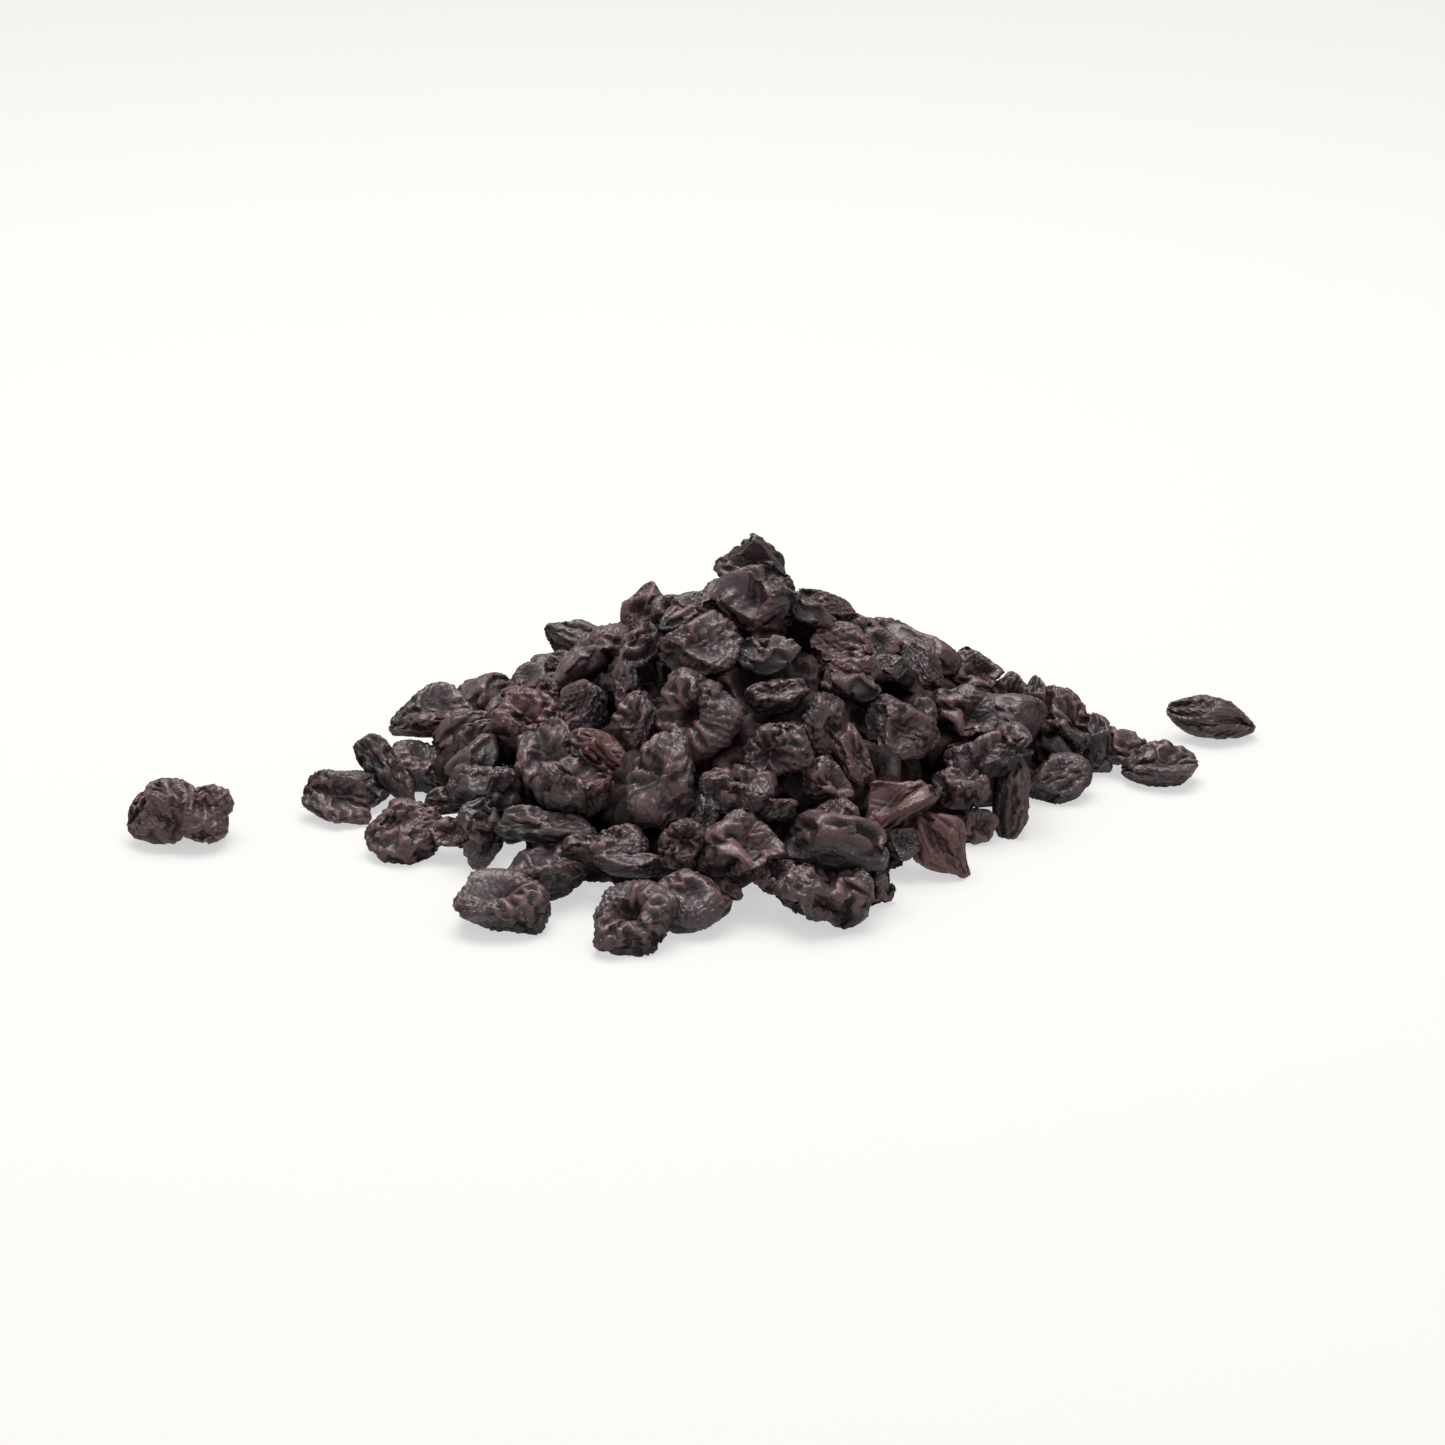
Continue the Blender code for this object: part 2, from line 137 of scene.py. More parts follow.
MIDDLE = (
    (698, 723, 94, 84, 70, "button"),
    (663, 783, 98, 64, 62, "round"),
    (636, 726, 70, 42, 75, "folded"),
    (579, 709, 60, 46, 70, "round"),
    (530, 724, 80, 60, -15, "crumpled"),
    (549, 691, 42, 32, 30, "round"),
    (530, 683, 48, 36, 40, "smooth"),
    (511, 706, 50, 34, 35, "smooth"),
    (575, 668, 62, 28, -20, "long"),
    (550, 664, 44, 28, 20, "smooth"),
    (602, 753, 80, 40, -32, "folded"),
    (576, 787, 84, 54, -18, "crumpled"),
    (778, 753, 72, 62, 40, "crumpled"),
    (824, 730, 70, 52, 60, "round"),
    (853, 759, 70, 40, -65, "long"),
    (824, 783, 50, 38, -60, "crumpled"),
    (897, 729, 78, 66, -50, "round"),
    (926, 724, 56, 26, -80, "long"),
    (924, 670, 66, 40, 108, "tipped"),
    (974, 674, 62, 50, -10, "crumpled"),
    (963, 714, 72, 58, -10, "crumpled"),
    (738, 790, 76, 46, -5, "button"),
    (770, 809, 54, 26, -5, "round"),
)
LEFT = (
    (424, 711, 90, 50, 5, "folded"),
    (458, 729, 60, 32, 10, "crumpled"),
    (477, 744, 58, 40, 40, "folded"),
    (416, 760, 78, 44, -14, "round"),
    (382, 772, 86, 38, -48, "long"),
    (350, 794, 60, 46, 15, "crumpled"),
    (308, 814, 76, 52, -20, "folded"),
    (397, 832, 82, 60, -8, "round"),
    (444, 830, 44, 34, 10, "crumpled"),
    (438, 803, 58, 28, 5, "long"),
    (487, 788, 82, 46, -8, "crumpled"),
    (475, 835, 72, 44, 105, "crumpled"),
    (547, 826, 100, 36, -7, "long"),
)
FRONT = (
    (619, 843, 58, 38, -5, "round"),
    (588, 847, 52, 26, 0, "long"),
    (628, 864, 68, 26, -5, "smooth"),
    (533, 871, 96, 50, 12, "folded"),
    (491, 910, 92, 58, 8, "round"),
    (608, 925, 88, 62, 15, "button"),
    (680, 901, 82, 62, -5, "smooth"),
    (722, 893, 30, 24, 0, "crumpled"),
    (742, 851, 86, 62, -10, "crumpled"),
    (682, 846, 56, 50, 20, "crumpled"),
    (704, 817, 46, 30, 80, "long"),
    (836, 842, 104, 58, -8, "smooth"),
    (822, 895, 98, 62, -8, "crumpled"),
    (887, 884, 44, 40, 20, "crumpled"),
    (903, 847, 44, 38, -10, "round"),
    (778, 877, 50, 36, -20, "crumpled"),
    (836, 812, 46, 28, 0, "round"),
)
RIGHT = (
    (894, 801, 86, 50, 35, "folded"),
    (947, 836, 90, 60, -52, "tipped"),
    (982, 818, 42, 34, 60, "crumpled"),
    (1021, 698, 54, 40, 70, "folded"),
    (1034, 703, 58, 26, 75, "long"),
    (1068, 721, 76, 54, -48, "crumpled"),
    (1105, 745, 66, 30, 93, "long"),
    (988, 755, 94, 48, 22, "crumpled"),
    (1055, 756, 48, 34, -25, "round"),
    (1027, 795, 94, 38, 86, "long"),
    (1082, 788, 72, 48, 12, "smooth"),
    (1146, 736, 66, 40, -25, "crumpled"),
    (1160, 766, 78, 46, -5, "folded"),
    (962, 785, 60, 40, 0, "crumpled"),
)
BEHIND_ON_SURFACE = (
    (487, 696, 68, 42, 0, "smooth"),
    (1082, 703, 48, 28, -25, "smooth"),
)
STRAYS = {
    "stray_cherry_left": (181, 811, 104, 62, -4, "crumpled"),
    "stray_cherry_right": (1211, 717, 96, 46, 172, "tipped"),
}

# Cherries that the view doesn't show, laid over what is left of the mound
SEED = 23
FILL_TRIES = 5000
FILL_HALF_LENGTH = (0.0090, 0.0064)
FILL_REACH_BEHIND = 1.02
FILL_REACH_IN_FRONT = 0.78
FILL_SPACING = 0.72
FILL_TILT = math.radians(38.0)
FILL_FORMS = ("round", "crumpled", "folded", "button", "long", "smooth", "tipped")

# Which skins each form is shaped as, and how they differ from the form's own figures. pit_at is the stem
# pit's place, square how upright the sides are (2 is an ellipsoid), facets how many flat sides its
# neighbours pressed into it, and bow how far it is bent along its length. folding is how much the skin
# outgrows the flesh, in large, middle and fine folds. around and lengthwise are how far the folds run out
# from the pit or along the cherry, and slip is how freely the skin gathers into a few large folds.
LOOKS = {
    "round": (
        dict(
            pit=(0.32, 0.45), square=2.5, facets=5,
            folding=(0.15, 0.20, 0.34), around=0.2, lengthwise=0.1, slip=0.8,
        ),
        dict(
            pit=(0.26, 0.60), square=2.8, facets=6,
            folding=(0.17, 0.24, 0.32), around=0.0, lengthwise=0.3, slip=1.0,
        ),
        dict(
            pit=(0.34, 0.40), pit_at=(0.18, 0.1), square=2.3, facets=4,
            folding=(0.19, 0.22, 0.32), slip=0.7,
        ),
        dict(
            pit=(0.20, 0.50), pit_at=(-0.2, 0.1), square=2.4, facets=5,
            folding=(0.14, 0.18, 0.36), slip=1.2,
        ),
    ),
    "button": (
        dict(
            pit=(0.46, 0.20), pit_at=(0.30, 0.05), square=2.6, facets=3,
            folding=(0.14, 0.20, 0.34), around=0.5,
        ),
        dict(
            pit=(0.50, 0.26), square=2.5, facets=4,
            folding=(0.17, 0.22, 0.32), around=0.3,
        ),
    ),
    "long": (
        dict(
            square=2.2, facets=4,
            folding=(0.15, 0.22, 0.34), lengthwise=0.4, slip=0.7,
        ),
        dict(
            square=2.4, facets=6,
            folding=(0.18, 0.26, 0.30), around=0.1, lengthwise=0.2, slip=1.0,
        ),
    ),
    "folded": (
        dict(
            square=2.2, facets=4, fold=0.55,
            folding=(0.16, 0.22, 0.34), around=0.2, lengthwise=0.3, slip=0.8,
        ),
        dict(
            square=2.2, facets=5, fold=0.70, bow=-0.15,
            folding=(0.19, 0.24, 0.30), lengthwise=0.5, slip=1.2,
        ),
    ),
    "crumpled": (
        dict(
            square=2.3, facets=6,
            folding=(0.26, 0.26, 0.28), around=0.1, lengthwise=0.2, slip=1.6,
        ),
        dict(
            square=2.4, facets=5, bow=0.12,
            folding=(0.23, 0.28, 0.32), around=0.2, slip=1.1,
        ),
        dict(
            square=2.6, facets=6, pit_at=(0.2, 0.15),
            folding=(0.28, 0.26, 0.26), around=0.1, slip=2.2,
        ),
    ),
    "tipped": (
        dict(
            square=2.1, facets=4,
            folding=(0.15, 0.20, 0.34), lengthwise=0.3, slip=0.8,
        ),
        dict(
            square=2.1, facets=5, fold=0.25,
            folding=(0.18, 0.24, 0.30), lengthwise=0.4, slip=1.2,
        ),
    ),
    "smooth": (
        dict(
            square=2.3, facets=4,
            folding=(0.14, 0.17, 0.24), around=0.1, lengthwise=0.1, slip=1.0,
        ),
        dict(
            square=2.4, facets=5,
            folding=(0.18, 0.18, 0.22), around=0.1, lengthwise=0.1, slip=1.5,
        ),
    ),
}
PLAIN_SLIP = 0.8
LOOK_SEED = 400

# Cherries that are plainly redder or blacker than the rest, as picture column and row; 0 is black, 1 is red
# The black of the one at 768, 654 is painted shade: it lies in shadow under the top ones.
TONES = (
    (829, 602, 0.90), (640, 610, 0.90), (843, 652, 0.85), (530, 724, 0.90), (511, 706, 0.80),
    (602, 753, 1.00), (853, 759, 0.85), (894, 801, 0.95), (947, 836, 0.95), (424, 711, 0.05),
    (963, 714, 0.05), (768, 654, 0.10), (836, 842, 0.15), (416, 760, 0.10), (897, 729, 0.60),
)
TONE_REACH = 14.0
PLAIN_TONES = (0.15, 0.70)
# The right stray's tone is set lighter as painted light, for the sky light that a cherry lying free catches
STRAY_TONES = {"stray_cherry_left": 0.75, "stray_cherry_right": 0.45}

# How much the finest wrinkles are drawn out along a cherry of these forms
OWN_STRETCH = {"long": (0.4, 1.0, 1.0), "tipped": (0.4, 1.0, 1.0), "folded": (0.5, 1.0, 1.0)}

# Forms that may lie turned any way about their own face. How many copies are mirrored, how far each is
# warped, and the fineness and number of its warp's waves
TURNABLE = ("round", "button", "crumpled", "smooth")
MIRRORED_SHARE = 0.5
WARP = 0.055
WARP_FINENESS = 1.6
WARP_WAVES = 5

# The height just over the floor at which skins end, and how near to it a cherry has to come to lie on it
SURFACE = 0.00004
NEAR_SURFACE = 0.0020

# How far out a flat side lies, how much of what stands beyond it is pressed in, how softly it begins, and
# how unevenly the flat sides are spread and lean
FACET_REACH = (0.66, 0.88)
FACET_PRESS = 0.8
FACET_SOFTNESS = 0.14
FACET_STRAY = 0.4
FACET_LEAN = 0.35

# The flesh's lumps as a share of the form's own, and how many there are to a unit. How deep and wide the
# dent below the stem pit is, as shares of the pit's, and how late the sides draw in towards a pointed end
LUMPS_SHARE = 0.8
LUMPS_FINENESS = 1.7
DENT_DEPTH = 0.5
DENT_WIDTH = 1.3
TIP_CURVE = 1.5

# The three nets a skin is shaped on, coarse to fine: the ball's divisions, the steps, how stiffly it bends,
# how strongly the flesh holds it from rising, from sinking and from sliding, the height that folds seldom
# pass, and the size and fineness of its first unevenness
NETS = (
    dict(
        divisions=4, steps=140, bend=0.10, rise=0.012, sink=0.014, slide=0.008,
        height=0.16, start=0.020, fine=5,
    ),
    dict(
        divisions=5, steps=150, bend=0.13, rise=0.014, sink=0.022, slide=0.012,
        height=0.09, start=0.010, fine=10,
    ),
    dict(
        divisions=6, steps=140, bend=0.12, rise=0.016, sink=0.026, slide=0.014,
        height=0.045, start=0.005, fine=20,
    ),
)
# The ball is turned so that none of its five-sided points falls on the stem pit
BALL_TURN = Matrix.Rotation(0.5, 3, Vector((0.3, 0.8, 0.52)))

# A net's first unevenness: its number of waves, and its grain as a share of them
START_WAVES = 24
START_GRAIN = 0.15

# How unevenly the skin grows, in waves of this fineness and between these limits, and how far out from the
# stem pit, squared, the folds run to it
UNEVEN = 0.22
UNEVEN_FINENESS = 2.2
UNEVEN_LIMITS = (0.5, 1.6)
PIT_REACH = 0.5

# The share of the steps in which the skin grows, how much of its speed it keeps from step to step, how far
# it moves in one, and how much it is smoothed at last
GROWING_TIME = 0.75
SPEED_KEPT = 0.86
STEP = 0.55
ROUNDING = 0.16

# How often the surroundings of a point are smoothed to tell crests from creases, and how many times the
# usual height a full crest has
CREST_ROUNDS = 3
CREST_HEIGHT = 2.2

# Share of the finest net's faces that a cherry keeps
SHOWN_FACES = 0.37
BEHIND_FACES = 0.18
INSIDE_FACES = 0.09
STRAY_FACES = 0.90

# Cherries deeper in the heap, seen only through the gaps: how many places are tried, their half length, how
# closely they lie, how deep they are sunk and how far out they reach. In front they lie on the surface
# where the mound is lower than the second of the two heights, and there are none where it is lower than the
# first. None lies so near to one of the outer layer that it would be covered.
INSIDE_TRIES = 3000
INSIDE_HALF = 0.0080
INSIDE_SPACING = 0.57
INSIDE_SINK = 0.0030
INSIDE_REACH = 0.93
INSIDE_LOWEST_IN_FRONT = 0.011
INSIDE_ON_SURFACE_IN_FRONT = 0.016
INSIDE_COVERED = 0.0050
INSIDE_TONE = 0.2

# Painted shade: how dark, and how dull, the skin is on the side of each cherry that faces into the heap or
# down, at these heights in a cherry of half height 1, for the outer layer, for the cherries under it and for
# those that lie free
PAINTED_SHADE_HEIGHTS = (-1.0, -0.40, 0.20)
PAINTED_SHADE_OUTSIDE = (0.97, 0.82, 0.0)
PAINTED_SHADE_INSIDE = (1.0, 0.98, 0.80)
PAINTED_SHADE_FREE = (0.35, 0.15, 0.0)

# The mound under all the cherries, painted near black as the shade in the gaps: how far below the mound's own
# surface it lies, its reach at the sides as a share of the mound's radius and how much further that is
# behind, how narrow the slope of its foot is, its lowest height, the height of its lumps, and how many waves
# they are made of and how many come to a millimetre
CORE_SINK = 0.0060
CORE_REACH = 0.66
CORE_FURTHER_BEHIND = 0.09
CORE_FOOT = 5
CORE_LOWEST = 0.0005
CORE_LUMPS = 0.0016
CORE_LUMP_WAVES = 16
CORE_LUMP_FINENESS = 0.45
CORE_RINGS = 26
CORE_SIDES = 90

# Painted shade: the near black of the creases, and the lighter patches of the mound under the cherries
SKIN_PAINTED_SHADE = (0.008, 0.0042, 0.0048, 1.0)
SKIN_BLACK = (0.046, 0.0315, 0.0345, 1.0)
SKIN_PLAIN = (0.063, 0.0380, 0.0410, 1.0)
SKIN_RED = (0.095, 0.0380, 0.0360, 1.0)
SKIN_EDGE = (0.125, 0.0590, 0.0550, 1.0)
SKIN_SPECK = (0.21, 0.17, 0.16, 1.0)
# Painted shade: the near black towards the heap's inside and on the low side of each cherry
SKIN_PAINTED_DEEP_SHADE = (0.006, 0.003, 0.0034, 1.0)
# Painted shade: the near black of the mound under the cherries
CORE_PAINTED_SHADE = (0.004, 0.0025, 0.0025, 1.0)

# The patterns in the materials, in spots to a metre: red patches, dull patches, pale specks and wrinkles
# too fine for the mesh on the skins, and patches and lumps on the mound
RED_PATCHES = 150.0
DULL_PATCHES = 420.0
PALE_SPECKS = 2600.0
FINEST_WRINKLES = 900.0
CORE_PATCHES = 260.0
CORE_GRAIN = 700.0

# How strongly the skin mirrors: of the cherries in the open, and of those inside, which lie in shade; their
# weaker mirroring is painted shade
OPEN_MIRRORING = 0.5
SHADED_MIRRORING = 0.15

# The floor shines a little itself, as a backlit table does, so that shadows stay pale
FLOOR_HALF = 4.0
FLOOR_COLOR = (0.260, 0.252, 0.225, 1.0)
FLOOR_GLOW = (0.560, 0.562, 0.568, 1.0)
SKY_LOW = 0.24
SKY_HIGH = 1.00
LIGHT_WATTS = 9.8
LIGHT_SIZE = 0.75
LIGHT_PLACE = Vector((-0.06, 0.18, 0.88))


def view_axes():
    """Right, up and backwards of the reference view."""
    back = Vector((0.0, -math.cos(VIEW_ELEVATION), math.sin(VIEW_ELEVATION)))
    up = Vector((0.0, math.sin(VIEW_ELEVATION), math.cos(VIEW_ELEVATION)))
    return Vector((1.0, 0.0, 0.0)), up, back


def sight_line(column, row):
    """Start and unit direction of the sight line through a pixel."""
    right, up, back = view_axes()
    per_px = SENSOR / LENS / FRAME_PX
    across = (column - FRAME_PX / 2) * per_px
    rise = (FRAME_PX / 2 - row) * per_px
    return VIEW_TARGET + back * VIEW_DISTANCE, (right * across + up * rise - back).normalized()


def heap_foot():
    """Middle of the heap on the surface that it lies on."""
    eye, line = sight_line(*HEAP_FOOT_PX)
    return eye - line * (eye.z / line.z)


FOOT = heap_foot()


def heap_radius(bearing):
    """The mound's radius towards a bearing in radians."""
    bearings, radii = zip(*HEAP_OUTLINE)
    return float(np.interp(math.degrees(bearing) % 360.0, bearings, radii))


def mound(point):
    """Height of the mound over a point: a cone with a rounded tip."""
    away = point - FOOT
    share = math.hypot(away.x, away.y) / heap_radius(math.atan2(away.y, away.x))
    blunt = math.hypot(share, TIP_ROUNDING)
    return HEAP_HEIGHT * (1.0 - blunt) / (1.0 - TIP_ROUNDING)


def outward(point):
    """The mound's outward direction over a point."""
    away = Vector((point.x - FOOT.x, point.y - FOOT.y, 0.0))
    radius = heap_radius(math.atan2(away.y, away.x))
    slope = HEAP_HEIGHT / radius * min(1.0, away.length / (TIP_ROUNDING * radius))
    return (away.normalized() * slope + Vector((0.0, 0.0, 1.0))).normalized()


def radius_towards(axes, halves, direction):
    """An ellipsoid's radius towards a direction."""
    return 1.0 / math.sqrt(sum((axis.dot(direction) / half) ** 2 for axis, half in zip(axes, halves)))


def rest_height(point, axes, halves):
    """Height over a point of the middle of a cherry that rests on the mound or, beside it, on the surface."""
    reach = math.sqrt(sum((half * axis.z) ** 2 for axis, half in zip(axes, halves)))
    seated = mound(point) + SEAT * radius_towards(axes, halves, outward(point))
    return seated, reach - FLAT_SPOT


def place_on_mound(column, row, axes, halves):
    """Where the sight line first meets a place to rest, or passes closest over one."""
    eye, line = sight_line(column, row)
    nearest, least = None, math.inf
    steps = int((SEARCH_BEFORE + SEARCH_BEHIND) / SEARCH_STEP)
    for step in range(steps):
        point = eye + line * (VIEW_DISTANCE - SEARCH_BEFORE + step * SEARCH_STEP)
        clear = point.z - max(rest_height(point, axes, halves))
        if clear <= 0.0:
            return point
        if clear < least:
            nearest, least = point, clear
    return nearest


def place_on_surface(column, row, axes, halves):
    """Where the sight line meets the height at which the cherry rests on the surface."""
    eye, line = sight_line(column, row)
    return eye - line * ((eye.z - rest_height(eye, axes, halves)[1]) / line.z)


def shown_pose(entry, place):
    """Middle, axes, half sizes and form of a cherry from its row. A narrow outline means that it leans."""
    column, row, length, breadth, turn, form = entry
    right, up, back = view_axes()
    angle = math.radians(turn)
    along = right * math.cos(angle) + up * math.sin(angle)
    across = back.cross(along)
    wide, thin = FORMS[form]["breadth"], FORMS[form]["thickness"]
    share = min(max(breadth / length, thin), wide)
    lean = math.acos(math.sqrt((share**2 - thin**2) / (wide**2 - thin**2)))
    eye, line = sight_line(column, row)
    if across.dot(outward(eye + line * VIEW_DISTANCE)) < 0.0:
        across.negate()
    face = back * math.cos(lean) + across * math.sin(lean)
    half = length / PX_PER_M / 2.0
    stretch = breadth / length / share
    halves = (half, half * wide * stretch, half * thin * stretch)
    axes = (along, face.cross(along), face)
    return place(column, row, axes, halves), axes, halves, form


def fill_pose(half, random, limit=None):
    """A cherry of this half length somewhere on the mound, lying roughly flat on its slope."""
    bearing = random.uniform(0.0, 2.0 * math.pi)
    limit = limit or (FILL_REACH_BEHIND if bearing < math.pi else FILL_REACH_IN_FRONT)
    reach = heap_radius(bearing) * math.sqrt(random.uniform(0.0, 1.0)) * limit
    form = FILL_FORMS[random.integers(len(FILL_FORMS))]
    spin, tilt_bearing = random.uniform(0.0, 2.0 * math.pi, 2)
    tilt = random.uniform(0.0, FILL_TILT)
    spot = Vector((FOOT.x + reach * math.cos(bearing), FOOT.y + reach * math.sin(bearing), 0.0))
    face = outward(spot)
    tilt_axis = face.orthogonal().normalized()
    tilt_axis.rotate(Matrix.Rotation(tilt_bearing, 3, face))
    face.rotate(Matrix.Rotation(tilt, 3, tilt_axis))
    along = face.orthogonal().normalized()
    along.rotate(Matrix.Rotation(spin, 3, face))
    axes = (along, face.cross(along), face)
    halves = (half, half * FORMS[form]["breadth"], half * FORMS[form]["thickness"])
    spot.z = max(rest_height(spot, axes, halves))
    return spot, axes, halves, form


def fill_mound(poses, random):
    """Adds cherries to the list over the parts of the mound that it leaves bare, large ones first."""
    for half in np.linspace(*FILL_HALF_LENGTH, FILL_TRIES):
        middle, axes, halves, form = fill_pose(half, random)
        if all((middle - old[0]).length > FILL_SPACING * (halves[0] + old[2][0]) for old in poses):
            poses.append((middle, axes, halves, form))


def gap_between(first, second):
    """How far two cherries are from being pressed together, measured along the line between their middles."""
    apart = second[0] - first[0]
    direction = apart.normalized()
    radii = radius_towards(*first[1:3], direction) + radius_towards(*second[1:3], direction)
    return apart.length - CLOSENESS * radii


def draw_in(poses):
    """Moves each cherry that hangs free of the mound, level or downwards, until it touches one further in."""
    ordered = sorted(poses, key=lambda pose: math.hypot(pose[0].x - FOOT.x, pose[0].y - FOOT.y))
    for number, pose in enumerate(ordered):
        middle, axes, halves, _ = pose
        seated = middle.z - rest_height(middle, axes, halves)[0] < FREE_GAP
        if number == 0 or seated and mound(middle) > RIM_HEIGHT:
            continue
        nearest = min(ordered[:number], key=lambda other: gap_between(pose, other))
        gap = gap_between(pose, nearest)
        if gap > 0.0:
            step = nearest[0] - middle
            step.z = min(step.z, 0.0)
            middle += step.normalized() * gap


def inside_poses(outer, random):
    """Cherries in the gaps of the outer layer: deeper in the mound, or at its front on the surface."""
    poses = []
    for _ in range(INSIDE_TRIES):
        middle, axes, halves, form = fill_pose(INSIDE_HALF, random, INSIDE_REACH)
        in_front = middle.y < FOOT.y
        on_surface = rest_height(middle, axes, halves)[1]
        at_foot = in_front and mound(middle) < INSIDE_ON_SURFACE_IN_FRONT
        middle.z = on_surface if at_foot else max(mound(middle) - INSIDE_SINK, on_surface)
        if in_front and mound(middle) < INSIDE_LOWEST_IN_FRONT:
            continue
        covered = any((middle - old[0]).length < INSIDE_COVERED for old in outer)
        crowded = any((middle - old[0]).length < 2.0 * INSIDE_SPACING * INSIDE_HALF for old in poses)
        if not covered and not crowded:
            poses.append((middle, axes, halves, form))
    return poses


class Net:
    """A ball's net of points: their directions, its faces and edges, and each point's six neighbours."""

    def __init__(self, divisions):
        ball = bmesh.new()
        bmesh.ops.create_icosphere(ball, subdivisions=divisions, radius=1.0)
        self.directions = np.array([BALL_TURN @ vert.co.normalized() for vert in ball.verts])
        self.faces = np.array([[vert.index for vert in face.verts] for face in ball.faces])
        self.edges = np.array([[vert.index for vert in edge.verts] for edge in ball.edges])
        ball.free()
        lists = [[] for _ in self.directions]
        for first, second in self.edges:
            lists[first].append(second)
            lists[second].append(first)
        self.near = np.array([(found + [number])[:6] for number, found in enumerate(lists)])
        x, y, z = self.directions.T
        nought = np.zeros_like(x)
        self.round_pit = unit(np.stack([-y, x, nought], axis=1))
        self.round_length = unit(np.stack([nought, -z, y], axis=1))
        self.from_coarser = None

    def link(self, coarser):
        """Finds which of the coarser net's points and edge middles each point of this net is."""
        middles = unit(coarser.directions[coarser.edges].mean(axis=1))
        known = np.concatenate([coarser.directions, middles])
        places = {tuple(np.round(place, 3)): number for number, place in enumerate(known)}
        self.from_coarser = np.empty(len(self.directions), int)
        for number, direction in enumerate(self.directions):
            found = places.get(tuple(np.round(direction, 3)))
            if found is None:
                found = int(np.argmax(known @ direction))
            self.from_coarser[number] = found

    def refine(self, coarser, points):
        """The coarser net's points carried over to this net."""
        return np.concatenate([points, points[coarser.edges].mean(axis=1)])[self.from_coarser]

    def normals(self, points):
        corners = points[self.faces]
        across = np.cross(corners[:, 1] - corners[:, 0], corners[:, 2] - corners[:, 0])
        total = np.zeros_like(points)
        for corner in range(3):
            for axis in range(3):
                total[:, axis] += np.bincount(self.faces[:, corner], across[:, axis], len(points))
        return unit(total)


def unit(vectors):
    return vectors / np.maximum(np.linalg.norm(vectors, axis=-1, keepdims=True), 1e-9)


def waves(places, random, fineness, count=10):
    """Smooth seeded unevenness over places, about -1 to 1, with this many waves to a unit."""
    ways = random.normal(0.0, fineness, (count, 3))
    phases = random.uniform(0.0, 2.0 * math.pi, count)
    return np.cos(places @ ways.T + phases).sum(axis=1) / math.sqrt(count / 2.0)


def flesh(directions, form, look, random):
    """The unwrinkled body of a cherry of half length 1: long in x, thin in z, its stem pit at +z."""
    spec = {**FORMS[form], **look}
    across = np.hypot(directions[:, 0], directions[:, 1])
    square = spec["square"]
    size = (across**square + np.abs(directions[:, 2]) ** square) ** (-1.0 / square)
    lumps = LUMPS_SHARE * spec["lumps"] * waves(directions, random, LUMPS_FINENESS)
    body = directions * (size * (1.0 + lumps))[:, None]
    for number in range(spec["facets"]):
        bearing = 2.0 * math.pi * (number + random.uniform(-FACET_STRAY, FACET_STRAY)) / spec["facets"]
        side = unit(np.array((math.cos(bearing), math.sin(bearing), random.normal(0.0, FACET_LEAN))))
        beyond = body @ side - random.uniform(*FACET_REACH)
        beyond = (beyond + np.hypot(beyond, FACET_SOFTNESS)) / 2.0
        body = body - FACET_PRESS * beyond[:, None] * side
    x, y, z = body.T
    depth, width = spec["pit"]
    pit_x, pit_y = spec.get("pit_at", (0.0, 0.0))
    spread = (x - pit_x) ** 2 + (y - pit_y) ** 2
    dent = DENT_DEPTH * np.exp(-spread / (DENT_WIDTH * width) ** 2)
    pit = np.where(z > 0.0, np.exp(-spread / width**2), dent)
    lift = 1.0 - depth / spec["thickness"] * pit
    narrow = 1.0 - spec["tip"] * np.clip(x, 0.0, 1.0) ** TIP_CURVE
    broad = y * spec["breadth"] * narrow
    thick = z * spec["thickness"] * lift * narrow + spec["fold"] * broad**2 + spec.get("bow", 0.0) * x**2
    return np.stack([x, broad, thick], axis=1)


def growth(net, body, amount, look, random):
    """The lengths of the net's edges, and how much longer they grow: most where wrinkles are to form."""
    spans = body[net.near] - body[:, None]
    lengths = np.linalg.norm(spans, axis=2)
    ways = spans / np.maximum(lengths, 1e-9)[..., None]
    round_pit = (ways * net.round_pit[:, None]).sum(axis=2) ** 2
    round_length = (ways * net.round_length[:, None]).sum(axis=2) ** 2
    near_pit = np.exp(-(net.directions[:, :2] ** 2).sum(axis=1) / PIT_REACH)[:, None]
    pattern = 1.0 + look.get("around", 0.0) * near_pit * (2.0 * round_pit - 1.0)
    pattern += look.get("lengthwise", 0.0) * (2.0 * round_length - 1.0)
    uneven = np.clip(1.0 + UNEVEN * waves(net.directions, random, UNEVEN_FINENESS), *UNEVEN_LIMITS)[:, None]
    return lengths, lengths * amount * uneven * pattern


